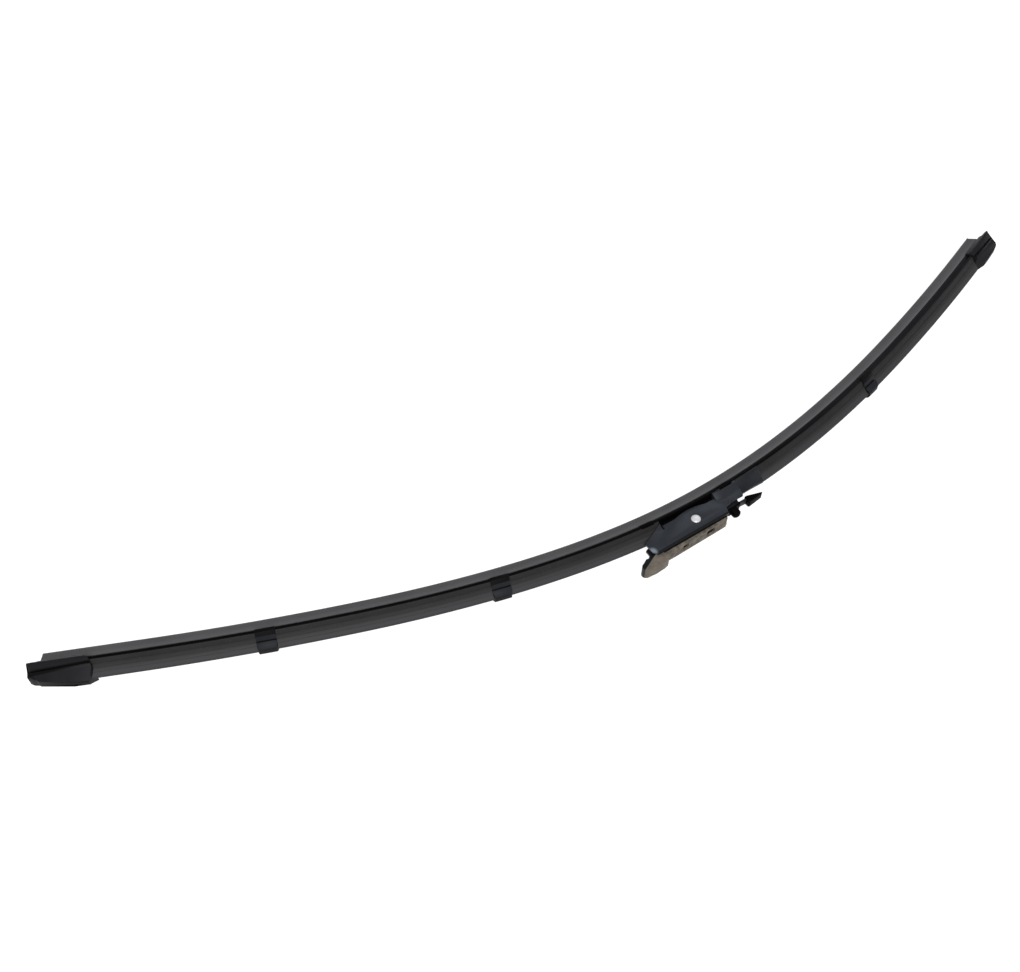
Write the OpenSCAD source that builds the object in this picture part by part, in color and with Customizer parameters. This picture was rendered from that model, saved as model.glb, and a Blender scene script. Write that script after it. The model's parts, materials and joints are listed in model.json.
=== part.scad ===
// Flat wiper blade with a pivoting arm adapter.
// The blade lies on its side. X runs along the blade at the pivot, towards the shorter half.
// Y runs from the arm towards the glass, and Z is across the blade.
// The origin is the middle of the adapter's flat top, where the arm sits.
// Sections are drawn as [height, side]: height is above the middle of the rails, away from the glass.
// Lengths are in millimetres.

/* [Blade] */
// Length of the rubber from the pivot to the longer end, along the bow
rubber_left = 318; // [200:1:420]
// Length of the rubber from the pivot to the shorter end, along the bow
rubber_right = 290.5; // [180:0.5:400]
// Angle that each half turns through if the bow ran to its full reach
bow_turn = 23; // [22:0.1:30]
// Reach of the bow, as a multiple of the longer half
bow_spread = 1.37; // [1.2:0.01:1.8]

/* [Rails] */
// Thickness of a rail
rail_thick = 0.9; // [0.7:0.05:1.2]
// Distance from the middle of the blade to the outer edge of a rail
rail_edge = 6.87; // [6:0.01:8]
// How far a rail stops short of the end of the rubber
rail_short = 4; // [2:0.5:8]
// Depth of the notches that take the carrier's claws
notch_depth = 0.9; // [0.5:0.1:1.2]

/* [Rubber] */
// Thickness of the web between the rails
web_thick = 2.2; // [1.6:0.1:3]
// Width of the head above the rails
head_wide = 4.4; // [3.6:0.1:5.4]
// Height of the head above the rails
head_high = 1.05; // [0.7:0.05:1.4]
// Width of the body below the rails
body_wide = 6.6; // [5.6:0.1:7.6]
// Depth of the body below the rails
body_deep = 2.75; // [2:0.05:3.4]
// Thickness of the neck that lets the wedge tip over
neck_thick = 1.4; // [0.9:0.1:2]
// Depth of the neck
neck_deep = 1.2; // [0.8:0.1:1.8]
// Width of the wedge at its shoulders
wedge_wide = 5.8; // [4.6:0.1:6.6]
// Depth of the wedge, from its shoulders to the lip
wedge_deep = 5.54; // [4.4:0.02:6.6]
// Thickness of the wiping lip
lip_thick = 0.8; // [0.6:0.1:1.2]

/* [Spoiler] */
// Height of the crest above the middle of the rails
crest_high = 5.9; // [5:0.1:7]
// Half width of the crest
crest_half = 0.7; // [0.5:0.05:1]
// Height of the upright edge on the rail
edge_high = 0.6; // [0.4:0.05:0.9]
// Number of steps on each flank
flank_steps = 4; // [3:1:5]
// Width of the ledge at each step
ledge = 0.3; // [0.2:0.05:0.4]
// Clearance over the head of the rubber
head_gap = 0.1; // [0.05:0.05:0.2]

/* [Clips] */
// Length of a clip
clip_long = 9.4; // [8:0.1:13]
// Wall of a clip, measured across the blade
clip_wall = 0.8; // [0.6:0.05:1]
// How far a clip's block stands out from its grip
clip_step = 0.5; // [0.3:0.1:0.8]
// Height of the groove between the grip and the block
clip_groove_high = 4; // [3.8:0.05:4.1]
// Rise of a clip's block above the crest
clip_rise = 1.3; // [0.9:0.1:1.8]
// Distance from the pivot to the outer clip of the longer half
clip_outer_at = 215.5; // [170:0.5:240]
// Distance from the pivot to the inner clip of the longer half
clip_inner_at = 103.5; // [80:0.5:130]
// Distance from the pivot to the clip of the shorter half
clip_short_at = 139; // [100:1:180]

/* [End caps] */
// Length of an end cap
cap_long = 28.2; // [24:0.1:34]
// How far the cap of the longer half reaches past the rubber, which is held at this end
cap_left_past = 5; // [3:0.1:9]
// How far the cap of the shorter half reaches past the rubber, which may creep at this end
cap_right_past = 5.3; // [3:0.1:9]
// Rise of a cap's back above the crest, at its inner end
cap_rise = 2.4; // [1.6:0.1:2.8]
// Fall of a cap's back from its inner end to its nose
cap_fall = 0.8; // [0.4:0.1:1.2]
// How far a cap's inner end leans towards the tip between the rails and its back
cap_lean = 4; // [1:0.1:6]
// Wall beside the rails
cap_wall = 1.1; // [0.8:0.1:1.5]
// Depth of the skirt below the body of the rubber
cap_skirt = 0.6; // [0.3:0.1:1]
// Depth of the groove along a cap's flanks
cap_groove = 0.9; // [0.3:0.1:1]
// Radius of the nose
cap_nose = 6; // [4:0.5:10]
// Radius of the tip's corners, seen from the back
cap_corner = 2.6; // [1.6:0.1:4]

/* [Connector] */
// Height of the pivot above the middle of the rails
pivot_high = 7.8; // [7:0.1:9]
// Distance from the pivot to the end of the connector on the longer half
foot_left = 31.3; // [28:0.1:36]
// Distance from the pivot to the end of the foot on the shorter half
foot_right = 30.2; // [26:0.1:36]
// Length of the open window from the pivot, towards the longer half
window_left = 17.8; // [15:0.1:20]
// Length of the open window from the pivot, towards the shorter half
window_right = 15.5; // [13:0.1:18]
// Width of the channel between the cheeks
channel_wide = 7.6; // [6.8:0.1:8.4]
// Thickness of a cheek
cheek_thick = 1.2; // [0.9:0.1:1.6]
// Height of the cheeks above the middle of the rails, at the pivot
cheek_high = 14.3; // [13:0.1:16]
// Fall of the cheeks' top edge, in degrees
cheek_fall = 2.1; // [0:0.1:4]
// Thickness of the floor between the cheeks
floor_thick = 0.9; // [0.6:0.1:1.2]
// Radius of the cheeks' lower edge where it arches down beside the beam
arch_radius = 30; // [20:1:60]
// Half length of that arch
arch_half = 9.5; // [7:0.5:12]
// Height of the arch above the middle of the rails
arch_high = 1.1; // [0.8:0.1:2]
// Height of the cheeks' lower edge beside the arch
brow_high = 2.6; // [2.2:0.1:3.2]
// Length of the notch at the end of the window
notch_long = 0.9; // [0.6:0.1:1.4]
// Height of that notch above the middle of the rails
notch_high = 4.9; // [4:0.1:6]
// Radius of the cheeks' upper corner
cheek_round = 1.6; // [1:0.1:2.4]
// How much the lower cheek is shorter than the upper one, on the longer half
cheek_short = 2.9; // [0.5:0.1:4]
// Height of the foot's toe on the shorter half, above the middle of the rails
toe_high = 8.3; // [6.6:0.1:9]
// Length of the fairing on the shorter half
fairing_long = 16; // [10:0.5:24]
// Thickness of the steel carrier
carrier_thick = 0.8; // [0.6:0.05:1]
// Length of a claw of the carrier
claw_long = 7; // [5:0.1:8]
// Distance from the pivot to the middle of the claws
claw_at = 24; // [22:0.1:26]

/* [Pivot] */
// Radius of the rivet's shank
rivet_radius = 2; // [1.7:0.05:2.3]
// Radius of the rivet's head
rivet_head = 2.45; // [2.3:0.05:3]
// Height of the rivet's head
rivet_head_high = 0.7; // [0.4:0.1:1]
// Clearance of the shank in the bush
running_gap = 0.05; // [0.02:0.01:0.08]
// Wall of the bush
bush_wall = 0.65; // [0.5:0.05:0.9]
// Radius of the washer
washer_radius = 3.1; // [2.9:0.1:3.6]
// Thickness of the washer
washer_thick = 0.4; // [0.3:0.05:0.6]

/* [Adapter] */
// Clearance between the adapter and a cheek
side_gap = 0.25; // [0.15:0.05:0.4]
// Height of the adapter's flat top above the pivot
seat_high = 8.2; // [7.4:0.1:8.8]
// Length of the flat top from the pivot, towards the longer half
seat_left = 18.8; // [16:0.1:21]
// Length of the flat top from the pivot, towards the shorter half
seat_right = 14; // [12:0.1:16]
// Depth of the pockets in the flat top
pocket_deep = 1.6; // [1:0.1:2.2]
// Length of the pocket towards the longer half
pocket_left_long = 3.4; // [2:0.1:5]
// Distance from the pivot to the middle of that pocket
pocket_left_at = 12.4; // [9:0.1:14]
// Length of the pocket over the pivot
pocket_right_long = 5; // [3:0.1:6]
// Distance from the pivot to the middle of that pocket
pocket_right_at = 3.7; // [3.2:0.1:6]
// Wall left beside the pockets
pocket_wall = 1.3; // [0.9:0.1:1.8]
// Angle at which the adapter has come to rest
adapter_tilt = 3; // [0:0.1:5]
// Length of the nose from the pivot
nose_reach = 39.6; // [35:0.1:44]
// Height of the nose above the pivot
nose_high = 10.4; // [9.6:0.1:12]
// Thickness of the nose
nose_thick = 6.2; // [5:0.1:7]
// Length of the nose
nose_long = 15.4; // [12:0.1:17]
// Length of the tongue from the pivot
tongue_reach = 31; // [27:0.1:34]
// Thickness of the tongue
tongue_thick = 1; // [0.8:0.1:1.4]
// Width of the tongue
tongue_wide = 4; // [3:0.1:5]
// Height of the tongue above the pivot
tongue_high = 3.4; // [2.8:0.1:3.8]
// Length of the wedge at the end of the tongue
wedge_tip_long = 9.6; // [6:0.1:12]
// Thickness of that wedge where it starts
wedge_tip_thick = 4; // [3:0.1:4.6]
// Distance from the pivot to the locking peg
peg_at = 21.8; // [20.5:0.1:23.5]
// Radius of the locking peg
peg_radius = 2.4; // [1.8:0.05:2.6]
// Height of the locking peg above its block
peg_high = 4; // [3:0.1:5]

/* [Hidden] */

$fn = 64;
// How far a cutter runs past what it cuts
over = 0.5;
// Fit of pieces that are pressed or crimped together
snug = 0.03;

rail_half = rail_thick / 2;
pivot_y = seat_high / cos(adapter_tilt);
beam_y = pivot_y + pivot_high;

cap_left_tip = rubber_left + cap_left_past;
cap_right_tip = rubber_right + cap_right_past;
cap_left_in = cap_left_tip - cap_long;
cap_right_in = cap_right_tip - cap_long;
cheek_in = channel_wide / 2;
cheek_out = cheek_in + cheek_thick;
head_top = rail_half + head_high;
carrier_top = head_top + head_gap + carrier_thick;
floor_low = carrier_top + snug;
floor_top = floor_low + floor_thick;
adapter_half = cheek_in - side_gap;

// Levels of the rubber below the rails
body_low = -rail_half - body_deep;
neck_low = body_low - neck_deep;
lip_low = neck_low - wedge_deep;

// The bow is a chain of arcs that share their tangents, counted from the pivot, and it ends straight.
// It bends as a strip does that an even load presses flat, most at the pivot and least at the ends.
// Each arc turns by the same angle, whose sine and cosine are the short decimals 0.07584 and 0.99712,
// so that neighbours meet face to face, however few digits a place is written with.
arcs = 5;
arc_turn = atan2(237, 3116);
half_long = max(cap_left_tip, cap_right_tip);
bow_reach = bow_spread * half_long;
function bow_at(turned) = bow_reach * (1 - pow(1 - turned / bow_turn, 1 / 3));
function hundredths(x) = round(x * 100) / 100;
function arc_radius(i) =
  hundredths((bow_at((i + 1) * arc_turn) - bow_at(i * arc_turn)) / arc_turn * 180 / PI);
function arc_long(i) = i < arcs ? arc_radius(i) * arc_turn * PI / 180 : half_long;

// Moves along an arc of the bow, or its straight end, by a length
module swing(i, long) {
  r = arc_radius(i);
  if (i < arcs) translate([0, r, 0]) rotate([0, 0, long / r * 180 / PI]) translate([0, -r, 0]) children();
  else translate([long, 0, 0]) children();
}

// Carries something out along one half of the bow, arc by arc
module out_along(s, i = 0) {
  if (s > arc_long(i)) swing(i, arc_long(i)) out_along(s - arc_long(i), i + 1) children();
  else swing(i, s) children();
}

// One arc with a [height, side] section, which runs on past both its ends, or the straight end
module arc_piece(i) {
  if (i < arcs) translate([0, arc_radius(i), 0]) rotate([0, 0, -90 - arc_turn])
    rotate_extrude(angle = 3 * arc_turn, $fn = 720) translate([arc_radius(i), 0]) children();
  else translate([half_long, 0, 0]) rotate([90, 0, -90])
    linear_extrude(height = half_long + over) children();
}

// Sweeps a section along one half of the bow. Each arc is cut by the planes of its two ends.
module arc_chain(from, to, i = 0) {
  long = arc_long(i);
  room = 3 * rail_edge;
  if (from < long && to > 0) intersection() {
    arc_piece(i) children();
    swing(i, max(from, 0)) translate([0, -room, -room]) cube([half_long, 2 * room, 2 * room]);
    swing(i, min(to, long)) translate([-half_long, -room, -room]) cube([half_long, 2 * room, 2 * room]);
  }
  if (to > long && i < arcs) swing(i, long) arc_chain(from - long, to - long, i + 1) children();
}

module half_run(from, to) {
  translate([0, beam_y, 0]) arc_chain(from, to) children();
}

// Sweeps a section between two stations, where a negative one is on the longer half
module run(from, to) {
  if (to > 0) half_run(max(from, 0), to) children();
  if (from < 0) mirror([1, 0, 0]) half_run(max(-to, 0), -from) children();
}

// Places something at a station, with X along the bow and -Y away from the glass
module station(s) {
  if (s < 0) mirror([1, 0, 0]) station(-s) children();
  else translate([0, beam_y, 0]) out_along(s) children();
}

// Draws a side view as [along, height] and gives it a width
module slab(half) {
  translate([0, 0, -half]) linear_extrude(height = 2 * half) mirror([0, 1]) children();
}

// Both sides of a symmetrical section
module both_sides() {
  children();
  mirror([0, 1]) children();
}

// A rectangle of a section, from one height and side to another
module bar(low, high, inner, outer) {
  translate([low, inner]) square([high - low, outer - inner]);
}

// Rubber

module rubber_section() {
  head = head_wide / 2;
  web = web_thick / 2;
  body = body_wide / 2;
  neck = neck_thick / 2;
  wedge = wedge_wide / 2;
  lip = lip_thick / 2;
  side = [
    [head_top, head - 0.3], [head_top - 0.3, head], [rail_half, head], [rail_half, web],
    [-rail_half, web], [-rail_half, body - 0.3], [-rail_half - 0.3, body],
    [body_low + 0.3, body], [body_low, body - 0.3], [body_low, neck], [neck_low, neck],
    [neck_low, wedge - 0.4], [neck_low - 0.4, wedge], [neck_low - 0.16 * wedge_deep, wedge],
    [lip_low + 0.18 * wedge_deep, lip + 0.1], [lip_low, lip]];
  last = len(side) - 1;
  polygon(concat(side, [for (i = [last : -1 : 0]) [side[i][0], -side[i][1]]]));
}

module squeegee() {
  color("#2b2b2c") run(-rubber_left, rubber_right) rubber_section();
}

// Rails

module rail_half_run(long) {
  inner = web_thick / 2;
  difference() {
    half_run(0, long - rail_short) bar(-rail_half, rail_half, inner, rail_edge);
    half_run(claw_at - claw_long / 2 - snug, claw_at + claw_long / 2 + snug)
      bar(-rail_thick, rail_thick, rail_edge - notch_depth - snug, rail_edge + over);
  }
}

module rail() {
  rail_half_run(rubber_right);
  mirror([1, 0, 0]) rail_half_run(rubber_left);
}

module rail_upper() {
  color("#101012") rail();
}

module rail_lower() {
  color("#101012") mirror([0, 0, 1]) rail();
}

// Spoiler

edge_top = rail_half + edge_high;
shoulder = crest_high - 0.3;
function flank_high(t) = edge_top + (shoulder - edge_top) * t;
function flank_side(t) = rail_edge - (rail_edge - crest_half - 0.2) * pow(t, 0.85);

// Outline of the spoiler, with no channel under it
module spoiler_outline() {
  steps = [for (i = [1 : flank_steps - 1], k = [1, 0])
    [flank_high(i / flank_steps), flank_side(i / flank_steps) + k * ledge]];
  side = concat([[rail_half, rail_edge], [edge_top, rail_edge]], steps,
    [[shoulder, crest_half + 0.2], [crest_high, crest_half - 0.2]]);
  last = len(side) - 1;
  polygon(concat(side, [for (i = [last : -1 : 0]) [side[i][0], -side[i][1]]]));
}

// Room for the head of the rubber, and the hollow above it
module spoiler_channel() {
  low = rail_half - over;
  high = head_top + head_gap;
  half = head_wide / 2 + head_gap;
  top = crest_high - 1.5;
  polygon([[low, -half], [high, -half], [top, -0.5], [top, 0.5], [high, half], [low, half]]);
}

module spoiler_run(from, to) {
  run(from, to) difference() {
    spoiler_outline();
    spoiler_channel();
  }
}

module spoiler_left() {
  color("#343436") difference() {
    spoiler_run(-cap_left_in, -window_left);
    connector_place() above_wing();
    carrier_room();
  }
}

module spoiler_right() {
  color("#343436") spoiler_run(foot_right + fairing_long, cap_right_in);
}

// Clips

// A point that stands out from the flank by a wall
function beside(high, wall) = [high, flank_side((high - edge_top) / (shoulder - edge_top)) + wall];

module clip_section() {
  out = rail_edge + clip_wall;
  claw = rail_edge - 1.8;
  top = crest_high + clip_rise;
  low = -rail_half - clip_wall;
  groove_low = clip_groove_high - 0.3;
  groove_top = clip_groove_high + 0.2;
  side = [
    [low, claw], [low, out - 0.3], [low + 0.3, out], [edge_top + 0.3, out],
    beside(groove_low, clip_wall), beside(groove_low, clip_wall - 0.25),
    beside(groove_top, clip_wall - 0.25), beside(groove_top, clip_wall + clip_step),
    [top - 0.35, crest_half + 1.3], [top, crest_half + 0.75]];
  difference() {
    polygon(concat([for (p = side) p], [for (i = [len(side) - 1 : -1 : 0]) [side[i][0], -side[i][1]]]));
    spoiler_outline();
    bar(-rail_half, rail_half + 0.01, -rail_edge, rail_edge);
    bar(low - over, rail_half, -claw, claw);
  }
}

module clip(at) {
  half = clip_long / 2;
  top = crest_high + clip_rise;
  low = -rail_half - clip_wall;
  intersection() {
    run(at - half, at + half) clip_section();
    station(at) slab(rail_edge + 2 * clip_wall) polygon([
      [-half - over, low - over], [half + over, low - over], [half + over, crest_high - 1.6],
      [half - 0.6, top + 0.05], [-half + 0.6, top + 0.05], [-half - over, crest_high - 1.6]]);
  }
}

module clip_outer() {
  color("#26282b") clip(-clip_outer_at);
}

module clip_inner() {
  color("#26282b") clip(-clip_inner_at);
}

module clip_short() {
  color("#26282b") clip(clip_short_at);
}

// End caps

module cap_section() {
  out = rail_edge + cap_wall;
  top = crest_high + cap_rise;
  skirt = body_low - cap_skirt;
  side = [
    [skirt, body_wide / 2 + 0.9], [-1.2, out - 0.35], [-0.6, out], [2, out],
    [2.2, out - cap_groove], [2.8, out - cap_groove], [3, out - 0.3],
    [top - 0.9, crest_half + 1.6], [top - 0.25, crest_half + 1.1], [top, crest_half + 0.3]];
  polygon(concat(side, [for (i = [len(side) - 1 : -1 : 0]) [side[i][0], -side[i][1]]]));
}

// Side view of a cap, from its inner end to its tip. Its back falls to a nose of one radius.
module cap_outline(past) {
  high = crest_high + cap_rise;
  skirt = body_low - cap_skirt;
  lean_from = 4;
  lean = cap_lean / (high - lean_from);
  fall = cap_fall / (cap_long - cap_nose - cap_lean);
  nose = [cap_long - cap_nose, high - cap_fall + 0.05 - cap_nose];
  difference() {
    polygon([
      [-over, 0.9], [0, 0.9], [4.6, skirt - over], [cap_long - past, skirt - over],
      [cap_long - past + 0.8, skirt + 1.2], [cap_long - 1.6, skirt + 1.4], [cap_long + over, skirt + 2.8],
      [cap_long + over, high - fall * (cap_long + over - cap_lean)], [cap_lean, high],
      [-over, lean_from - over / lean]]);
    difference() {
      translate([nose[0], nose[1] - 1]) square([cap_nose + 2 * over, cap_nose + 2]);
      translate(nose) circle(r = cap_nose, $fn = 128);
    }
  }
}

// Plan of a cap, with round corners at its tip
module cap_plan() {
  out = rail_edge + cap_wall;
  corner = [cap_long - cap_corner + 0.15, out - cap_corner + 0.05];
  translate([-over, -out - over]) square([corner[0] + over, 2 * (out + over)]);
  translate([0, -corner[1]]) square([cap_long + over, 2 * corner[1]]);
  for (k = [-1, 1]) translate([corner[0], k * corner[1]]) circle(r = cap_corner);
}

// Room for the head, web and body of the rubber, with the skirt open under it for the neck
module cap_hollow() {
  half = body_wide / 2 - 0.3;
  difference() {
    rubber_section();
    bar(lip_low - over, body_low, -wedge_wide, wedge_wide);
  }
  bar(body_low - cap_skirt - over, body_low, -half, half);
}

module end_cap(inner, tip, past) {
  rubber_end = tip - past;
  rails_end = rubber_end - rail_short;
  intersection() {
    union() {
      half_run(inner, rails_end) difference() {
        cap_section();
        cap_hollow();
        bar(-rail_half, rail_half, -rail_edge, rail_edge);
      }
      half_run(rails_end, rubber_end) difference() {
        cap_section();
        cap_hollow();
      }
      half_run(rubber_end, tip) cap_section();
    }
    station(inner) slab(2 * rail_edge) cap_outline(past);
    station(inner) translate([0, 2 * rail_edge, 0]) rotate([90, 0, 0])
      linear_extrude(height = 4 * rail_edge) cap_plan();
  }
}

module end_cap_left() {
  color("#232325") mirror([1, 0, 0]) end_cap(cap_left_in, cap_left_tip, cap_left_past);
}

module end_cap_right() {
  color("#232325") end_cap(cap_right_in, cap_right_tip, cap_right_past);
}

// Connector

// Puts a side view of the connector at its place over the pivot
module connector_place() {
  translate([0, beam_y, 0]) children();
}

module carrier_section() {
  out = head_wide / 2 + head_gap;
  both_sides() {
    bar(head_top + head_gap, carrier_top, -0.01, out + carrier_thick);
    bar(rail_half, carrier_top, out, out + carrier_thick);
  }
}

module claw_section() {
  out = head_wide / 2 + head_gap;
  inner = rail_edge - notch_depth;
  low = -rail_half - carrier_thick;
  both_sides() {
    bar(rail_half, rail_half + carrier_thick, out, rail_edge);
    bar(low, rail_half + carrier_thick, inner, rail_edge);
    bar(low, -rail_half, inner - 1.4, rail_edge);
  }
}

module carrier() {
  half = claw_long / 2;
  color("#17181a") {
    run(-claw_at - half, claw_at + half) carrier_section();
    run(-claw_at - half, -claw_at + half) claw_section();
    run(claw_at - half, claw_at + half) claw_section();
  }
}

// Space that the carrier needs in the pieces above it
module carrier_room() {
  half = claw_long / 2 + snug;
  high = rail_half + carrier_thick + snug;
  run(-claw_at - half, claw_at + half)
    bar(rail_half - over, carrier_top + snug,
      -head_wide / 2 - head_gap - carrier_thick - snug, head_wide / 2 + head_gap + carrier_thick + snug);
  run(-claw_at - half, -claw_at + half) bar(rail_half - over, high, -rail_edge - over, rail_edge + over);
  run(claw_at - half, claw_at + half) bar(rail_half - over, high, -rail_edge - over, rail_edge + over);
}

// The sloping lower edge of the wing, from the crest of the spoiler down to the rails
wing_start = [-foot_left - over, crest_high + 1.9];
wing_end = [-window_left, edge_top + 0.5];

// Everything above that edge, which the spoiler makes room for
module above_wing() {
  slab(rail_edge + over) polygon([
    wing_start, wing_end, [wing_end[0] + over, wing_end[1]], [wing_end[0] + over, cheek_high + over],
    [wing_start[0], cheek_high + over]]);
}

// Everything below that edge, which the connector makes room for
module below_wing() {
  slab(rail_edge + over) polygon([
    wing_start, wing_end, [wing_end[0], -rail_edge], [wing_start[0] - over, -rail_edge],
    [wing_start[0] - over, wing_start[1]]]);
}

module foot_section() {
  side = [
    [rail_half, rail_edge], [edge_top + 0.3, rail_edge], [edge_top + 1.4, rail_edge - 0.75],
    [edge_top + 3.6, cheek_out + 0.1], [floor_top + 2.4, cheek_out], [floor_top + 2.4, 0]];
  polygon(concat(side, [for (i = [len(side) - 2 : -1 : 0]) [side[i][0], -side[i][1]]]));
}

// Top of a cheek at a distance from the pivot
function cheek_top(x) = cheek_high - x * tan(cheek_fall);

module cheek_outline() {
  left = -foot_left + 0.2;
  left_high = cheek_top(left) - cheek_round;
  slope = cheek_round / 2 + 0.1;
  shoulder = [window_right + cheek_round + 2.2, toe_high + 0.8];
  difference() {
    union() {
      polygon([
        [left, floor_low], [left + 1.2, left_high - slope], [left + 1.2 + cheek_round, left_high + cheek_round - 0.1],
        [window_right + slope, cheek_top(window_right)], [window_right + slope + 1, cheek_top(window_right) - 3.6],
        shoulder, [shoulder[0] + 3, toe_high + 0.1], [foot_right - 0.8, toe_high],
        [foot_right, toe_high - cheek_round], [foot_right, floor_low]]);
      intersection() {
        translate([0, arch_radius + arch_high]) circle(r = arch_radius, $fn = 180);
        translate([-arch_half - over, 0]) square([2 * (arch_half + over), floor_top]);
      }
    }
    translate([-window_left, 0]) square([window_left - arch_half, brow_high]);
    translate([arch_half, 0]) square([window_right - arch_half, brow_high]);
    translate([-window_left, 0]) square([notch_long, notch_high]);
  }
}

module connector_base() {
  color("#2b2e32") difference() {
    union() {
      run(-foot_left, -window_left) foot_section();
      run(window_right, foot_right) foot_section();
      connector_place() slab(cheek_out) cheek_outline();
    }
    connector_place() slab(cheek_in) polygon([
      [-foot_left - 3, floor_top], [foot_right + 3, floor_top], [foot_right + 3, cheek_high + 5],
      [-foot_left - 3, cheek_high + 5]]);
    connector_place() slab(cheek_in) polygon([
      [-window_left, -over], [window_right, -over], [window_right, floor_low], [-window_left, floor_low]]);
    run(-foot_left - over, foot_right + over) spoiler_channel_low();
    carrier_room();
    connector_place() below_wing();
    connector_place() translate([-foot_left - over, -cheek_high - 5, -cheek_out - over])
      cube([cheek_short + over, cheek_high + 5 - crest_high, cheek_thick + 2 * over]);
    translate([0, pivot_y, -cheek_out - over])
      cylinder(r = rivet_radius + snug, h = 2 * (cheek_out + over));
  }
}

// The part of the channel that clears the head of the rubber
module spoiler_channel_low() {
  half = head_wide / 2 + head_gap;
  bar(rail_half - over, head_top + head_gap, -half, half);
}

module fairing_section() {
  side = [
    [rail_half, rail_edge], [edge_top + 0.2, rail_edge], [edge_top + 1.3, rail_edge - 1.15],
    [shoulder - 1.2, crest_half + 1.95], [shoulder, crest_half + 0.6], [crest_high + 0.2, crest_half]];
  polygon(concat(side, [for (i = [len(side) - 1 : -1 : 0]) [side[i][0], -side[i][1]]]));
}

module fairing() {
  color("#2f3134") run(foot_right, foot_right + fairing_long) difference() {
    fairing_section();
    spoiler_channel();
  }
}

// Pivot

module pivot_rivet() {
  dome = (pow(rivet_head, 2) + pow(rivet_head_high, 2)) / (2 * rivet_head_high);
  tail = 0.8;
  color("#c9ccd0") translate([0, pivot_y, 0]) {
    translate([0, 0, -cheek_out - washer_thick - 0.01])
      cylinder(r = rivet_radius, h = 2 * cheek_out + washer_thick + 0.02);
    translate([0, 0, cheek_out]) intersection() {
      cylinder(r = rivet_head, h = rivet_head_high);
      translate([0, 0, rivet_head_high - dome]) sphere(r = dome, $fn = 96);
    }
    translate([0, 0, -cheek_out - washer_thick - tail]) cylinder(r1 = rivet_radius - 0.2, r2 = rivet_head, h = tail);
  }
}

module rivet_washer() {
  color("#8d9094") translate([0, pivot_y, -cheek_out - washer_thick]) difference() {
    cylinder(r = washer_radius, h = washer_thick);
    translate([0, 0, -over]) cylinder(r = rivet_radius + snug, h = washer_thick + 2 * over);
  }
}

bush_in = rivet_radius + running_gap;
bush_out = bush_in + bush_wall;
bush_half = cheek_in - 0.1;

module pivot_bush() {
  color("#a7a9ab") translate([0, pivot_y, -bush_half]) difference() {
    cylinder(r = bush_out, h = 2 * bush_half);
    translate([0, 0, -over]) cylinder(r = bush_in, h = 2 * bush_half + 2 * over);
  }
}

// Adapter

// Turns what is drawn about the pivot to the angle at which the adapter rests
module adapter_place() {
  translate([0, pivot_y, 0]) rotate([0, 0, adapter_tilt]) children();
}

module adapter_outline() {
  hub = bush_out + 1.1;
  difference() {
    union() {
      polygon([
        [-nose_reach + nose_long - 1, 1.8], [-10, -2.2], [10, -2.2], [seat_right + 3, 0.6],
        [seat_right + 4.6, tongue_high - tongue_thick], [seat_right + 4.6, tongue_high],
        [seat_right + 3.4, tongue_high + 0.6], [seat_right, seat_high],
        [-seat_left, seat_high], [-nose_reach + nose_long, seat_high - 0.2],
        [-nose_reach + nose_long - 1, seat_high - 0.2]]);
      circle(r = hub);
    }
    circle(r = bush_out + snug);
  }
}

// A moulded pocket in the flat top
module pocket(at, long) {
  translate([at - long / 2, seat_high - pocket_deep]) square([long, 2 * pocket_deep]);
}

module adapter_body() {
  color("#6e675e") adapter_place() difference() {
    slab(adapter_half) adapter_outline();
    slab(adapter_half - pocket_wall) {
      pocket(-pocket_left_at, pocket_left_long);
      pocket(pocket_right_at, pocket_right_long);
    }
  }
}

// The thumb pad that is pressed to free the arm. Its underside rises to a round tip.
module nose_outline() {
  left = -nose_reach;
  right = left + nose_long;
  low = nose_high - nose_thick;
  tip = nose_thick / 3;
  belly = left + 0.45 * nose_long;
  difference() {
    union() {
      translate([left + tip, nose_high - 1.2 * tip]) circle(r = tip);
      polygon([
        [left + 0.3 * tip, nose_high - 1.9 * tip], [left + 0.34 * nose_long, low], [right - 1, low - 0.4],
        [right - 1, seat_high - 0.2], [right, seat_high - 0.2], [right, nose_high - 1.2],
        [right - 0.7, nose_high - 0.3],
        [right - 0.2 * nose_long, nose_high + 0.2], [belly, nose_high + 0.35], [left + 0.75 * tip, nose_high - 0.25]]);
    }
    translate([left + 0.36 * nose_long, low - 0.9]) circle(r = 1.4);
  }
}

module adapter_nose() {
  color("#766e64") adapter_place() slab(adapter_half) nose_outline();
}

block_left = seat_right + 4.6;
block_right = peg_at + peg_radius + 2.2;
block_high = tongue_high + 1.1;

module lock_tongue() {
  color("#55575a") adapter_place() slab(tongue_wide / 2) polygon([
    [seat_right + 4.6, tongue_high - tongue_thick], [tongue_reach, tongue_high - tongue_thick + 0.3],
    [tongue_reach, tongue_high + 0.3], [block_right, tongue_high], [seat_right + 4.6, tongue_high]]);
}

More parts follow.
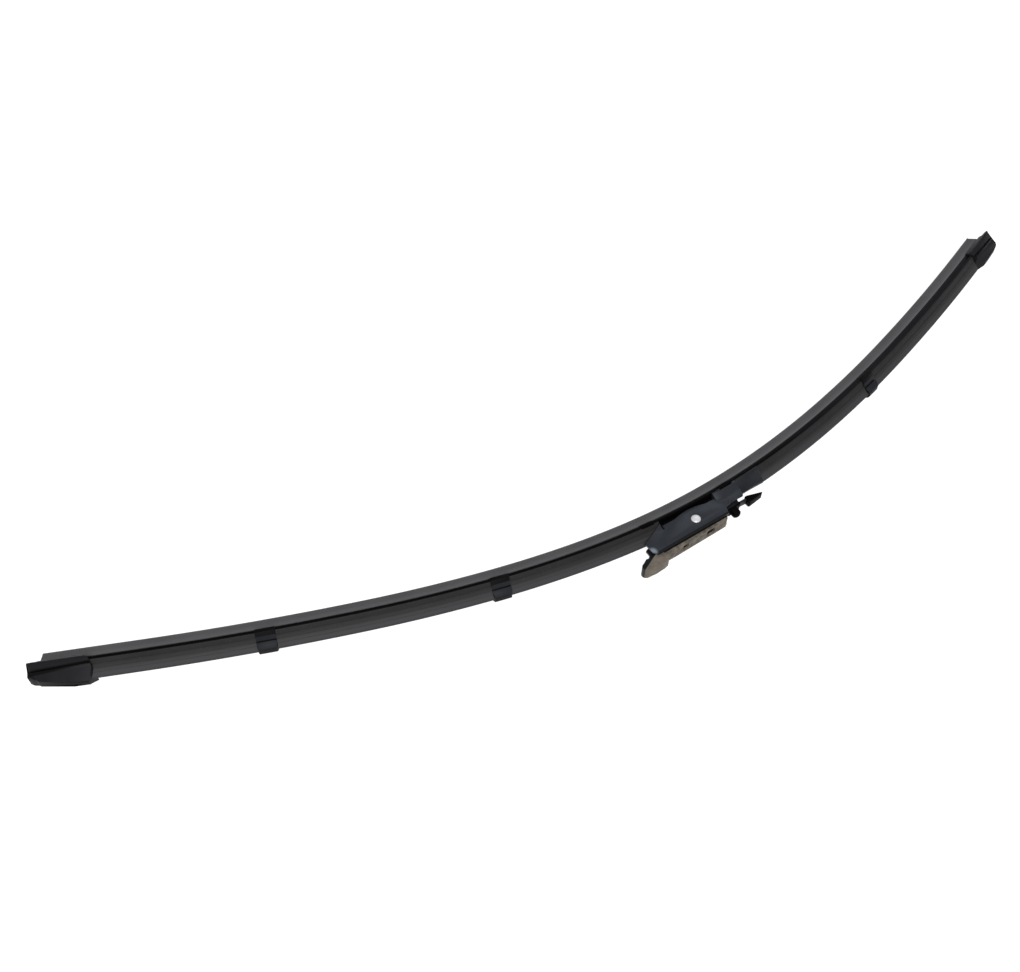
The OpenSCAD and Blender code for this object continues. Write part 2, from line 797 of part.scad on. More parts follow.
module lock_peg() {
  shank = peg_high - 1.4;
  dome = (pow(peg_radius, 2) + pow(1.4, 2)) / 2.8;
  color("#0f0f10") adapter_place() {
    slab(tongue_wide / 2 + 0.6) polygon([
      [block_left + 0.1, tongue_high], [block_right, tongue_high], [block_right, block_high - 0.5],
      [block_right - 0.6, block_high], [block_left + 0.6, block_high], [block_left + 0.1, block_high - 0.5]]);
    translate([peg_at, -block_high + 0.01, 0]) rotate([90, 0, 0]) {
      cylinder(r = peg_radius, h = shank + 0.01);
      translate([0, 0, shank]) intersection() {
        cylinder(r = peg_radius, h = 1.4);
        translate([0, 0, 1.4 - dome]) sphere(r = dome, $fn = 96);
      }
    }
  }
}

module lock_wedge() {
  low = tongue_high - tongue_thick - 0.4;
  tip = tongue_reach + wedge_tip_long;
  color("#0f0f10") adapter_place() slab(tongue_wide / 2 + 0.4) polygon([
    [tongue_reach, low], [tongue_reach + 1.2, low], [tip, low + 0.66 * wedge_tip_thick],
    [tip - 0.3, low + 0.76 * wedge_tip_thick], [tongue_reach + 0.6, low + wedge_tip_thick],
    [tongue_reach, low + wedge_tip_thick - 0.5]]);
}

squeegee();
rail_upper();
rail_lower();
spoiler_left();
spoiler_right();
clip_outer();
clip_inner();
clip_short();
end_cap_left();
end_cap_right();
carrier();
connector_base();
fairing();
pivot_rivet();
rivet_washer();
pivot_bush();
adapter_body();
adapter_nose();
lock_tongue();
lock_peg();
lock_wedge();
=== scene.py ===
# %% [markdown]
# # A flat wiper blade, dressed in its materials
#
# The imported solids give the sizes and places, and this script gives them their looks.
# The long parts are extrusions that follow the bow of the blade, so Geometry Nodes sweep them.
# The moulded parts are the solids themselves with their edges rounded off.
# Some forms differ by a few millimetres from the solids, as the photograph shows them,
# and the note before each of them says so.
# The scene is in metres, in the frame of the solids: X runs along the blade at the pivot,
# Y from the arm towards the glass, and Z across the blade. Sizes are written in mm and times MM.

# %% Load the frame
import json
import math
import bmesh
import bpy
from mathutils import Matrix, Vector

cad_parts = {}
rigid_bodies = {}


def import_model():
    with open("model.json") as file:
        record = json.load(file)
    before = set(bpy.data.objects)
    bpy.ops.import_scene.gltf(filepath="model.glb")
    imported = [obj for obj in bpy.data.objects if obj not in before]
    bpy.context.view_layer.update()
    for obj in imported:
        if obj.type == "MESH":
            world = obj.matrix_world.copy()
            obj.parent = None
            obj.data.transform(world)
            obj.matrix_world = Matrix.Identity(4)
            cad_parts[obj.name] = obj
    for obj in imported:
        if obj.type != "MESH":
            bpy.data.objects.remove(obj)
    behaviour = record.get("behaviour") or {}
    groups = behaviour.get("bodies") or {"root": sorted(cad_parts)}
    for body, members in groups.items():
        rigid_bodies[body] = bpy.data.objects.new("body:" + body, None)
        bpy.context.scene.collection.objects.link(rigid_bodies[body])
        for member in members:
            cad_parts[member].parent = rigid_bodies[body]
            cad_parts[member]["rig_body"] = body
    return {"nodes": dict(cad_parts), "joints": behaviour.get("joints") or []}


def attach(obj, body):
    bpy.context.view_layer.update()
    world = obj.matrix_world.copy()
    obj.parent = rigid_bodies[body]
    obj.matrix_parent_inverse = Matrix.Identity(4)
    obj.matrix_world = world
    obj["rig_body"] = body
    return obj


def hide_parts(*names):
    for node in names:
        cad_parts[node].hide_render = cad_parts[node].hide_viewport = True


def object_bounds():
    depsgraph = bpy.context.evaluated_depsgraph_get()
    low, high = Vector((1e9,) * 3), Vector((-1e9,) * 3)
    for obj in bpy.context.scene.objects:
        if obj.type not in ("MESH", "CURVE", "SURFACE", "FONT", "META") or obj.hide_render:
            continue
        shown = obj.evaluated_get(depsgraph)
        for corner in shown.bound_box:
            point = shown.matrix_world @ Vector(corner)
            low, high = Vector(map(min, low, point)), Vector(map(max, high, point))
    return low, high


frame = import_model()
cad_low, cad_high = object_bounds()
MM = 0.001
pivot_y = frame["joints"][0]["pos_m"][1]

# %% [markdown]
# ## The camera
#
# The photograph looks down at the blade from the arm's side and from beyond its longer half.
# Its place, its two directions and its focal length come from fitting the blade's outline.
# A camera looks along its own -Z with +X to the right, so these columns turn it.

# %% Camera
camera_data = bpy.data.cameras.new("photo camera")
camera = bpy.data.objects.new("photo camera", camera_data)
bpy.context.scene.collection.objects.link(camera)
camera_place = Vector((-0.2591, -0.2375, 0.4702))
look = Vector((0.3227, 0.5269, -0.7863)).normalized()
right = Vector((0.8528, -0.5222, 0.0)).normalized()
above = right.cross(look).normalized()
turned = Matrix((right, above, -look)).transposed().to_4x4()
camera.matrix_world = Matrix.Translation(camera_place) @ turned
# The focal length is in pixels of the photograph, and so is the photograph's width
focal_length, photo_width, sensor_mm = 1161.65, 1020, 36.0
camera_data.sensor_width = sensor_mm
camera_data.lens = sensor_mm * focal_length / photo_width
camera_data.clip_start = 0.01
camera_data.clip_end = 20.0
bpy.context.scene.camera = camera
print("focal length", round(camera_data.lens, 2), "mm")

# %% [markdown]
# ## Colours and nodes
#
# A colour is written as its sRGB hex value, as it would be picked from the photograph.
# Shaders work in linear light, so one function turns it.
# Another adds a node, sets its values and links its inputs, and every material is made with it.
# The small functions after it each make one step that several materials share.

# %% Colour and node helpers
def linear(code):
    channels = [int(code[i:i + 2], 16) / 255 for i in (1, 3, 5)]
    turned_channels = [c / 12.92 if c <= 0.04045 else ((c + 0.055) / 1.055) ** 2.4 for c in channels]
    return (*turned_channels, 1.0)


def add_node(tree, kind, links=None, **settings):
    """Adds a node. A setting is an input by name or number, or an attribute of the node."""
    node = tree.nodes.new(kind)
    values = settings.pop("values", {})
    for name, value in settings.items():
        setattr(node, name, value)
    for name, value in values.items():
        node.inputs[name].default_value = value
    for name, source in (links or {}).items():
        tree.links.new(source, node.inputs[name])
    return node


def new_material(name, slot):
    material = bpy.data.materials.new(name)
    material.use_nodes = True
    material.node_tree.nodes.clear()
    material["slot"] = slot
    return material, material.node_tree


def between(tree, factor, low, high):
    """A colour ramp between two hex colours over the factor's range."""
    ramp = add_node(tree, "ShaderNodeValToRGB", {"Fac": factor})
    for stop, (place, code) in zip(ramp.color_ramp.elements, (low, high)):
        stop.position = place
        stop.color = linear(code)
    return ramp.outputs["Color"]


def graded(tree, value, low, high, first, last, smooth=False):
    """Goes from the first number to the last as a value goes from low to high, and stays at each end."""
    node = add_node(tree, "ShaderNodeMapRange", {"Value": value},
                    interpolation_type="SMOOTHSTEP" if smooth else "LINEAR",
                    values={"From Min": low, "From Max": high, "To Min": first, "To Max": last})
    return node.outputs["Result"]


def inside(tree, value, low, high, soft):
    """1 where a value lies between two limits, and 0 outside, with soft edges."""
    rise = graded(tree, value, low - soft, low + soft, 0.0, 1.0, smooth=True)
    fall = graded(tree, value, high - soft, high + soft, 1.0, 0.0, smooth=True)
    return add_node(tree, "ShaderNodeMath", {0: rise, 1: fall}, operation="MULTIPLY").outputs[0]


def mixed(tree, factor, base, code):
    """A colour that turns from a socket's colour into a hex colour as the factor rises."""
    mix = add_node(tree, "ShaderNodeMix", {"Factor": factor}, data_type="RGBA")
    tree.links.new(base, mix.inputs["A"])
    mix.inputs["B"].default_value = linear(code)
    return mix.outputs["Result"]


def noise(tree, place, size_mm, detail, rough=0.5):
    """Noise whose coarsest grains are about so many mm across."""
    node = add_node(tree, "ShaderNodeTexNoise", {"Vector": place},
                    values={"Scale": 1 / (size_mm * MM), "Detail": detail, "Roughness": rough})
    return node.outputs["Fac"]


def bumped(tree, height, strength, depth_mm):
    """The normal of a surface whose relief is so many mm deep at full strength."""
    node = add_node(tree, "ShaderNodeBump", {"Height": height},
                    values={"Strength": strength, "Distance": depth_mm * MM})
    return node.outputs["Normal"]


def attribute(tree, name):
    """The number that a mesh stores under a name."""
    return add_node(tree, "ShaderNodeAttribute", attribute_name=name).outputs["Fac"]


def surface(tree, links, values):
    """Ends a material with a shader that has these linked and these fixed inputs."""
    shader = add_node(tree, "ShaderNodeBsdfPrincipled", links, values=values)
    add_node(tree, "ShaderNodeOutputMaterial", {"Surface": shader.outputs["BSDF"]})


print("the grey #808080 is", round(linear("#808080")[0], 4), "in linear light")

# %% [markdown]
# ## Moulded plastic
#
# The clips, caps, connector and adapter are injection mouldings.
# Their moulds are spark-eroded, which leaves a fine grain of about a tenth of a millimetre.
# It is drawn here at 0.35 mm, because a finer one wouldn't show in the picture.
# Handling polishes raised edges, so Pointiness makes those a little paler.
# One corner of the upper cheek has a painted highlight: the plastic is paler round that point, where its
# rounded edge catches the light.
# Some meshes store a height for each point, called "level", and each rule below says which height.
# Between two levels a painted shade makes the plastic nearly black: in a cap's groove, on a clip's grip,
# along the cheeks' top edge.
# Faces marked by an attribute of their own get the same painted shade, as they turn from the light:
# the back and the ends of a clip, and some edges of the caps.

# %% Moulded plastic materials
grain_mm, band_edge_mm = 0.35, 0.12
painted_shade_black, painted_face_shade_black, painted_highlight_grey = "#040404", "#050505", "#8d97a2"
highlight_full_mm, highlight_end_mm, highlight_share = 1.0, 3.2, 0.75
# The middle of the painted highlight on the corner of the upper cheek
highlight_corner = (-30.2 * MM, pivot_y - 5.2 * MM, 5.0 * MM)


def moulded_plastic(name, slot, colour, pale, rough, dark=(), shine=0.3, cloud_mm=14, highlight_at=None):
    """Dark lists the pairs of levels, in mm, with painted shade between them. The last argument centres a
    painted highlight.
    """
    material, tree = new_material(name, slot)
    place = add_node(tree, "ShaderNodeTexCoord").outputs["Object"]
    grain = noise(tree, place, grain_mm, 3.0, 0.6)
    cloud = noise(tree, place, cloud_mm, 4.0, 0.55)
    edge = add_node(tree, "ShaderNodeNewGeometry").outputs["Pointiness"]
    worn = graded(tree, edge, 0.51, 0.6, 0.0, 0.5)
    body = between(tree, cloud, (0.35, colour), (0.65, pale))
    tint = mixed(tree, worn, body, pale)
    height = attribute(tree, "level")
    # Painted shade: nearly black between two levels, where grooves, gaps and undersides lie in shade
    for low, high in dark:
        band = inside(tree, height, low * MM, high * MM, band_edge_mm * MM)
        tint = mixed(tree, band, tint, painted_shade_black)
    # Painted shade on the faces marked as turned away from the light
    tint = mixed(tree, attribute(tree, "rim"), tint, painted_face_shade_black)
    # A painted highlight: a pale spot round one corner of the upper cheek, where its rounded edge catches the
    # light
    if highlight_at:
        reach = add_node(tree, "ShaderNodeVectorMath", {0: place}, operation="DISTANCE", values={1: highlight_at})
        spot = graded(tree, reach.outputs["Value"], highlight_full_mm * MM, highlight_end_mm * MM, highlight_share, 0.0,
                      smooth=True)
        tint = mixed(tree, spot, tint, painted_highlight_grey)
    gloss = graded(tree, grain, 0.0, 1.0, rough - 0.07, rough + 0.08)
    surface(tree, {"Base Color": tint, "Roughness": gloss, "Normal": bumped(tree, grain, 0.12, 0.02)},
            {"IOR": 1.45, "Specular IOR Level": shine})
    return material


# Each dark pair below is painted shade: the cheeks' top edge, a clip's grip and divider, a cap's groove, the
# adapter inside the cheeks, the pad's underside
base_plastic = moulded_plastic("moulded PBT", "base_plastic", "#1f2228", "#2a2d34", 0.42,
                               dark=((-1.2, 2),), shine=0.4, highlight_at=highlight_corner)
fairing_plastic = moulded_plastic("moulded PBT fairing", "base_plastic", "#1c1d21", "#25272b", 0.45)
clip_plastic = moulded_plastic("moulded acetal", "clip_plastic", "#1b1d21", "#24272c", 0.55,
                               dark=((-2, 2.6), (3.85, 4.3)), shine=0.15)
cap_plastic = moulded_plastic("moulded ABS", "cap_plastic", "#18181b", "#212124", 0.55,
                              dark=((1.75, 3.5),), shine=0.15)
adapter_plastic = moulded_plastic("glass-filled nylon", "adapter_plastic", "#3c362f", "#766d61", 0.5,
                                  dark=((-30, 0.5),), cloud_mm=2.6)
nose_plastic = moulded_plastic("glass-filled nylon pad", "adapter_plastic", "#5e564d", "#766d62", 0.5,
                               dark=((-2, 2.6),), cloud_mm=4)
tongue_plastic = moulded_plastic("grey nylon", "tongue_plastic", "#1e1e20", "#2c2c2e", 0.5, shine=0.15)
lock_plastic = moulded_plastic("black acetal", "lock_plastic", "#040404", "#070707", 0.5, shine=0.04)
print("moulded plastics", [m.name for m in bpy.data.materials])

# %% [markdown]
# ## Extruded rubber
#
# The squeegee and the spoiler come out of a die, which draws faint lines along their whole length.
# The sweep stores how far along and how far round the section each point is,
# so stretched noise on that attribute follows the bow as the real lines do.
# It also stores the height in the section. Between two heights a painted shade, black, lies in the gap
# beside the rails. Over another range of heights the colour turns towards a paler grey.
# On the shorter half, what is black elsewhere is a dark grey: a painted reflection of the paler light it
# catches at a grazing angle.

# %% Extruded materials
# Where the painted reflection on the shorter half begins and where it is full, and its greys
reflection_from_mm, reflection_full_mm = 40, 150
painted_reflection_grey, steel_painted_reflection_grey = "#1d1d1f", "#1f1f21"
die_line_long_mm, cloudy_mm, speck_mm = 60, 22, 0.5
dust_grey, painted_gap_shade = "#8a8a88", "#030303"


def on_short_half(tree, place, share):
    """Grows from 0 near the connector to a share on the shorter half."""
    along = add_node(tree, "ShaderNodeSeparateXYZ", {"Vector": place}).outputs["X"]
    return graded(tree, along, reflection_from_mm * MM, reflection_full_mm * MM, 0.0, share, smooth=True)


def extruded(name, slot, colour, pale, rough, line_mm, depth, dust, dark, greying):
    """Dark gives the two heights, in mm, with painted shade, black, between them.

    The last argument gives the height in mm where grey begins, where it is full, its share and its colour.
    """
    material, tree = new_material(name, slot)
    place_on_it = add_node(tree, "ShaderNodeAttribute", attribute_name="sweep").outputs["Vector"]
    drawn = add_node(tree, "ShaderNodeMapping", {"Vector": place_on_it},
                     values={"Scale": (1 / (die_line_long_mm * MM), 1 / (line_mm * MM), 1.0)})
    lines = add_node(tree, "ShaderNodeTexNoise", {"Vector": drawn.outputs["Vector"]},
                     values={"Scale": 1.0, "Detail": 3.0, "Roughness": 0.65}).outputs["Fac"]
    place = add_node(tree, "ShaderNodeTexCoord").outputs["Object"]
    cloud = noise(tree, place, cloudy_mm, 5.0, 0.6)
    speck = noise(tree, place, speck_mm, 2.0)
    total = add_node(tree, "ShaderNodeMath", {0: lines, 1: cloud}, operation="ADD").outputs[0]
    mean = add_node(tree, "ShaderNodeMath", {0: total}, operation="MULTIPLY", values={1: 0.5}).outputs[0]
    body = between(tree, mean, (0.35, colour), (0.65, pale))
    dusty = mixed(tree, graded(tree, speck, 0.62, 0.75, 0.0, dust), body, dust_grey)
    height = attribute(tree, "level")
    start, full, share, grey = greying
    greyed = mixed(tree, graded(tree, height, start * MM, full * MM, 0.0, share, smooth=True), dusty, grey)
    # Painted shade: black between two heights, in the gap beside the rails
    shade = inside(tree, height, dark[0] * MM, dark[1] * MM, 0.05 * MM)
    shaded = mixed(tree, shade, greyed, painted_gap_shade)
    # A painted reflection: on the shorter half the painted shade turns dark grey
    reflected_share = add_node(tree, "ShaderNodeMath", {0: shade, 1: on_short_half(tree, place, 0.8)},
                      operation="MULTIPLY").outputs[0]
    tint = mixed(tree, reflected_share, shaded, painted_reflection_grey)
    gloss = graded(tree, lines, 0.0, 1.0, rough - 0.08, rough + 0.1)
    surface(tree, {"Base Color": tint, "Roughness": gloss, "Normal": bumped(tree, lines, depth, 0.03)},
            {"IOR": 1.45, "Specular IOR Level": 0.15})
    return material


# The dark pairs are painted shade: the rubber's body and head beside the rails, and the spoiler's edge
# against them
wiper_rubber = extruded("graphite-coated rubber", "wiper_rubber", "#505052", "#5f5e5f", 0.6,
                        line_mm=0.25, depth=0.25, dust=0.12, dark=(-3.75, 2),
                        greying=(-7.5, -4.5, 0.5, "#6a696b"))
spoiler_rubber = extruded("extruded spoiler elastomer", "spoiler_rubber", "#252425", "#2e2d2d", 0.55,
                          line_mm=0.3, depth=0.2, dust=0.1, dark=(0.3, 0.95),
                          greying=(2.5, 6.0, 0.8, "#444345"))
print("extruded materials", wiper_rubber.name, "and", spoiler_rubber.name)

# %% [markdown]
# ## Steel
#
# The rails and the carrier are spring steel under a thin black paint, a little orange-peeled.
# The rivet is zinc plated, pale and half matt, with fine turning rings round its head.
# The washer is plated like the rivet, and the bush is plain turned steel.

# %% Steel materials
peel_mm, ring_mm, scratch_mm = 0.8, 1.2, 0.4
ring_gloss = (0.3, 0.43)


def painted_steel(name, slot, colour, pale):
    material, tree = new_material(name, slot)
    place = add_node(tree, "ShaderNodeTexCoord").outputs["Object"]
    peel = noise(tree, place, peel_mm, 2.0)
    paint = between(tree, peel, (0.3, colour), (0.8, pale))
    # A painted reflection: the paint turns dark grey on the shorter half
    tint = mixed(tree, on_short_half(tree, place, 0.9), paint, steel_painted_reflection_grey)
    surface(tree, {"Base Color": tint, "Normal": bumped(tree, peel, 0.1, 0.02)},
            {"Roughness": 0.6, "IOR": 1.45, "Specular IOR Level": 0.05})
    return material


def bright_steel(name, slot, colour, pale, metal):
    """Bright steel with turning rings about the pivot's axis."""
    material, tree = new_material(name, slot)
    place = add_node(tree, "ShaderNodeTexCoord").outputs["Object"]
    centred = add_node(tree, "ShaderNodeMapping", {"Vector": place},
                       values={"Location": (0.0, -pivot_y, 0.0)}).outputs["Vector"]
    rings = add_node(tree, "ShaderNodeTexWave", {"Vector": centred}, wave_type="RINGS", rings_direction="Z",
                     values={"Scale": 1 / (ring_mm * MM), "Distortion": 0.6, "Detail": 2.0}).outputs["Fac"]
    tint = between(tree, noise(tree, place, scratch_mm, 3.0), (0.3, colour), (0.7, pale))
    gloss = graded(tree, rings, 0.0, 1.0, *ring_gloss)
    surface(tree, {"Base Color": tint, "Roughness": gloss, "Normal": bumped(tree, rings, 0.15, 0.02)},
            {"Metallic": metal})
    return material


rail_steel = painted_steel("painted spring steel", "rail_steel", "#030303", "#070707")
carrier_steel = painted_steel("painted pressed steel", "carrier_steel", "#040404", "#090909")
rivet_steel = bright_steel("zinc-plated steel", "rivet_steel", "#d9dadc", "#e8e8e9", 0.2)
bush_steel = bright_steel("turned steel", "bush_steel", "#8f9092", "#a8a9ab", 1.0)
print("steels", rail_steel.name, rivet_steel.name)

# %% [markdown]
# ## The path of the bow
#
# The blade is bent like a strip that a level load presses flat: most at the pivot, least at its ends.
# Each half is a chain of five arcs that share their tangents, with a straight end, as in the solids.
# Each arc turns by the small angle of a right triangle with sides 237, 3116 and 3125.
# A poly curve through points on those arcs is the path that every extrusion follows.

# %% Bow path
rubber_left, rubber_right = 318.0, 290.5
cap_left_past, cap_right_past = 5.0, 5.3
cap_left_tip, cap_right_tip = rubber_left + cap_left_past, rubber_right + cap_right_past
half_long = max(cap_left_tip, cap_right_tip)
bow_turn, bow_spread = 23.0, 1.37
bow_reach = bow_spread * half_long
arc_turn, arc_count = math.degrees(math.atan2(237, 3116)), 5
pivot_high = 7.8
beam_y = pivot_y / MM + pivot_high
path_parts = 258


def bow_at(turned_by):
    """The distance from the pivot, in mm, at which the bow has turned by so many degrees."""
    return bow_reach * (1 - (1 - turned_by / bow_turn) ** (1 / 3))


def arc_radius(i):
    return round((bow_at((i + 1) * arc_turn) - bow_at(i * arc_turn)) / math.radians(arc_turn), 2)


arc_radii = [arc_radius(i) for i in range(arc_count)]


def on_bow(s):
    """Place and heading, in mm and radians, of the middle of the rails at a distance from the pivot."""
    x, y, heading, left = 0.0, 0.0, 0.0, abs(s)
    for radius in arc_radii:
        turn = min(left / radius, math.radians(arc_turn))
        x += radius * (math.sin(heading + turn) - math.sin(heading))
        y += radius * (math.cos(heading) - math.cos(heading + turn))
        heading += turn
        left -= radius * math.radians(arc_turn)
        if left <= 0:
            break
    if left > 0:
        x += left * math.cos(heading)
        y += left * math.sin(heading)
    side = 1 if s >= 0 else -1
    return side * x, beam_y + y, side * heading


def curve_object(name, points, closed):
    data = bpy.data.curves.new(name, "CURVE")
    data.dimensions = "3D"
    spline = data.splines.new("POLY")
    spline.points.add(len(points) - 1)
    for point, place in zip(spline.points, points):
        point.co = (*place, 1.0)
    spline.use_cyclic_u = closed
    obj = bpy.data.objects.new(name, data)
    bpy.context.scene.collection.objects.link(obj)
    return obj


stations = [-half_long + 2 * half_long * i / path_parts for i in range(path_parts + 1)]
bow_path = curve_object("bow path", [(on_bow(s)[0] * MM, on_bow(s)[1] * MM, 0.0) for s in stations], False)
print("arc radii", arc_radii, "mm; left tip at", [round(v, 1) for v in on_bow(-half_long)])

# %% [markdown]
# ## Sweeping a section along the bow
#
# One Geometry Nodes tree makes every extrusion: it trims the path, sweeps the section along it,
# stores where each point lies along and round the section, and sets the material.
# The result is turned into a plain mesh, and the curves and the modifier are thrown away.

# %% Sweep tree
def build_sweep_tree():
    tree = bpy.data.node_groups.new("sweep along the bow", "GeometryNodeTree")
    tree.is_modifier = True
    face = tree.interface
    face.new_socket("Geometry", in_out="INPUT", socket_type="NodeSocketGeometry")
    face.new_socket("Path", in_out="INPUT", socket_type="NodeSocketObject")
    face.new_socket("Section", in_out="INPUT", socket_type="NodeSocketObject")
    face.new_socket("From", in_out="INPUT", socket_type="NodeSocketFloat")
    face.new_socket("To", in_out="INPUT", socket_type="NodeSocketFloat")
    face.new_socket("Material", in_out="INPUT", socket_type="NodeSocketMaterial")
    face.new_socket("Geometry", in_out="OUTPUT", socket_type="NodeSocketGeometry")
    given = add_node(tree, "NodeGroupInput").outputs
    path = add_node(tree, "GeometryNodeObjectInfo", {"Object": given["Path"]})
    section = add_node(tree, "GeometryNodeObjectInfo", {"Object": given["Section"]})
    trim = add_node(tree, "GeometryNodeTrimCurve", {"Curve": path.outputs["Geometry"]}, mode="LENGTH")
    ends = [socket for socket in trim.inputs if socket.enabled and socket.name in ("Start", "End")]
    tree.links.new(given["From"], ends[0])
    tree.links.new(given["To"], ends[1])
    along = add_node(tree, "GeometryNodeSplineParameter").outputs["Length"]
    keep_along = add_node(tree, "GeometryNodeCaptureAttribute", {"Geometry": trim.outputs["Curve"]})
    keep_along.capture_items.new("FLOAT", "along")
    tree.links.new(along, keep_along.inputs["along"])
    keep_round = add_node(tree, "GeometryNodeCaptureAttribute", {"Geometry": section.outputs["Geometry"]})
    keep_round.capture_items.new("FLOAT", "round")
    keep_round.capture_items.new("FLOAT", "high")
    drawn_at = add_node(tree, "GeometryNodeInputPosition").outputs["Position"]
    high = add_node(tree, "ShaderNodeSeparateXYZ", {"Vector": drawn_at}).outputs["X"]
    tree.links.new(along, keep_round.inputs["round"])
    tree.links.new(high, keep_round.inputs["high"])
    curves = {"Curve": keep_along.outputs["Geometry"], "Profile Curve": keep_round.outputs["Geometry"]}
    swept = add_node(tree, "GeometryNodeCurveToMesh", curves, values={"Fill Caps": True})
    place = add_node(tree, "ShaderNodeCombineXYZ",
                     {"X": keep_along.outputs["along"], "Y": keep_round.outputs["round"]})
    stored = add_node(tree, "GeometryNodeStoreNamedAttribute",
                      {"Geometry": swept.outputs["Mesh"], "Value": place.outputs["Vector"]},
                      data_type="FLOAT_VECTOR", domain="POINT", values={"Name": "sweep"})
    levelled = add_node(tree, "GeometryNodeStoreNamedAttribute",
                        {"Geometry": stored.outputs["Geometry"], "Value": keep_round.outputs["high"]},
                        data_type="FLOAT", domain="POINT", values={"Name": "level"})
    real = add_node(tree, "GeometryNodeRealizeInstances", {"Geometry": levelled.outputs["Geometry"]})
    painted = add_node(tree, "GeometryNodeSetMaterial",
                       {"Geometry": real.outputs["Geometry"], "Material": given["Material"]})
    add_node(tree, "NodeGroupOutput", {"Geometry": painted.outputs["Geometry"]})
    return tree


sweep_tree = build_sweep_tree()
print("sweep tree has", len(sweep_tree.nodes), "nodes")

# %% Sections and sweeps
crease, most_of_a_side = math.radians(35), 0.45


def rounded(points, radius, steps=3):
    """A closed outline whose corners are rounded, with the curve held inside the corner."""
    made = []
    for i, corner in enumerate(points):
        corner = Vector(corner)
        before = Vector(points[i - 1]) - corner
        after = Vector(points[(i + 1) % len(points)]) - corner
        start = corner + before.normalized() * min(radius, most_of_a_side * before.length)
        end = corner + after.normalized() * min(radius, most_of_a_side * after.length)
        for k in range(steps + 1):
            t = k / steps
            made.append(start * (1 - t) ** 2 + corner * 2 * t * (1 - t) + end * t ** 2)
    return made


def mirrored(side):
    """Both halves of a section from one half, given as (height, side) from the bottom to the top."""
    return side + [(h, -z) for h, z in reversed(side)]


def plain_mesh(obj, name):
    """The evaluated object as a new object with a mesh of its own and no modifiers."""
    graph = bpy.context.evaluated_depsgraph_get()
    mesh = bpy.data.meshes.new_from_object(obj.evaluated_get(graph))
    mesh.name = name
    made = bpy.data.objects.new(name, mesh)
    bpy.context.scene.collection.objects.link(made)
    bpy.data.objects.remove(obj)
    return made


def sweep(name, section, start, end, material):
    """Sweeps a section, given in mm as (height above the rails, side), between two stations."""
    outline = curve_object(name + " section", [(h * MM, z * MM, 0.0) for h, z in section], True)
    holder = bpy.data.objects.new(name + " holder", bpy.data.meshes.new(name))
    bpy.context.scene.collection.objects.link(holder)
    modifier = holder.modifiers.new("sweep", "NODES")
    modifier.node_group = sweep_tree
    wanted = {"Path": bow_path, "Section": outline, "Material": material,
              "From": (half_long + start) * MM, "To": (half_long + end) * MM}
    for item in sweep_tree.interface.items_tree:
        if item.in_out == "INPUT" and item.name in wanted:
            modifier[item.identifier] = wanted[item.name]
    made = plain_mesh(holder, name)
    bpy.data.objects.remove(outline)
    shape = bmesh.new()
    shape.from_mesh(made.data)
    bmesh.ops.recalc_face_normals(shape, faces=shape.faces)
    shape.to_mesh(made.data)
    shape.free()
    made.data.shade_smooth()
    made.data.set_sharp_from_angle(angle=crease)
    return made


# %% [markdown]
# ## The squeegee
#
# The head sits over the rails, the web between them and the body under them.
# A thin neck lets the wedge tip over as the wiper changes direction, and the lip does the wiping.
# The neck is drawn shorter and the wedge narrower than the solid's, as the photograph shows them.

# %% Squeegee
rail_half, rail_edge = 0.45, 6.87
head_top, body_low, neck_low, lip_low = 1.5, -3.2, -3.75, -9.94
head_half, web_half, body_half, neck_half, wedge_half, lip_half = 2.2, 1.1, 3.3, 0.7, 2.5, 0.4
chamfer = 0.3
rubber_half_section = [
    (lip_low, lip_half), (lip_low + 1.0, lip_half + 0.1), (neck_low - 0.9, wedge_half),
    (neck_low - chamfer, wedge_half), (neck_low, wedge_half - chamfer), (neck_low, neck_half),
    (body_low, neck_half), (body_low, body_half - chamfer), (body_low + chamfer, body_half),
    (-rail_half - chamfer, body_half), (-rail_half, body_half - chamfer), (-rail_half, web_half),
    (rail_half, web_half), (rail_half, head_half), (head_top - chamfer, head_half),
    (head_top, head_half - chamfer)]
squeegee = sweep("wiper_squeegee", rounded(mirrored(rubber_half_section), 0.18),
                 -rubber_left, rubber_right, wiper_rubber)
print("squeegee", len(squeegee.data.polygons), "faces")

# %% [markdown]
# ## The rails
#
# Two flat springs lie in the slots of the rubber. Their edges are rounded by the slitting,
# and each has a notch on both sides of the pivot for the carrier's claws, cut with a Boolean.

# %% Rails
def cut(piece, cutter):
    """Takes one closed mesh from another and leaves a plain mesh."""
    modifier = piece.modifiers.new("cut", "BOOLEAN")
    modifier.operation = "DIFFERENCE"
    modifier.solver = "EXACT"
    modifier.object = cutter
    name = piece.name
    piece.name = name + " uncut"
    made = plain_mesh(piece, name)
    bpy.data.objects.remove(cutter)
    return made


def box_section(low, high, inner, outer):
    return [(low, inner), (high, inner), (high, outer), (low, outer)]


rail_short, claw_at, notch_half = 4, 24.0, 3.53
notch_in, notch_out, notch_high = 5.94, 7.5, 1.0


def make_rail(name, side):
    outline = rounded(box_section(-rail_half, rail_half, side * web_half, side * rail_edge), 0.2)
    rail = sweep(name, outline, rail_short - rubber_left, rubber_right - rail_short, rail_steel)
    for middle in (-claw_at, claw_at):
        opening = box_section(-notch_high, notch_high, side * notch_in, side * notch_out)
        notch = sweep(name + " notch", opening, middle - notch_half, middle + notch_half, rail_steel)
        rail = cut(rail, notch)
    return rail


rails = [make_rail("spring_rail_upper", 1), make_rail("spring_rail_lower", -1)]
print("rails", [len(r.data.polygons) for r in rails], "faces")

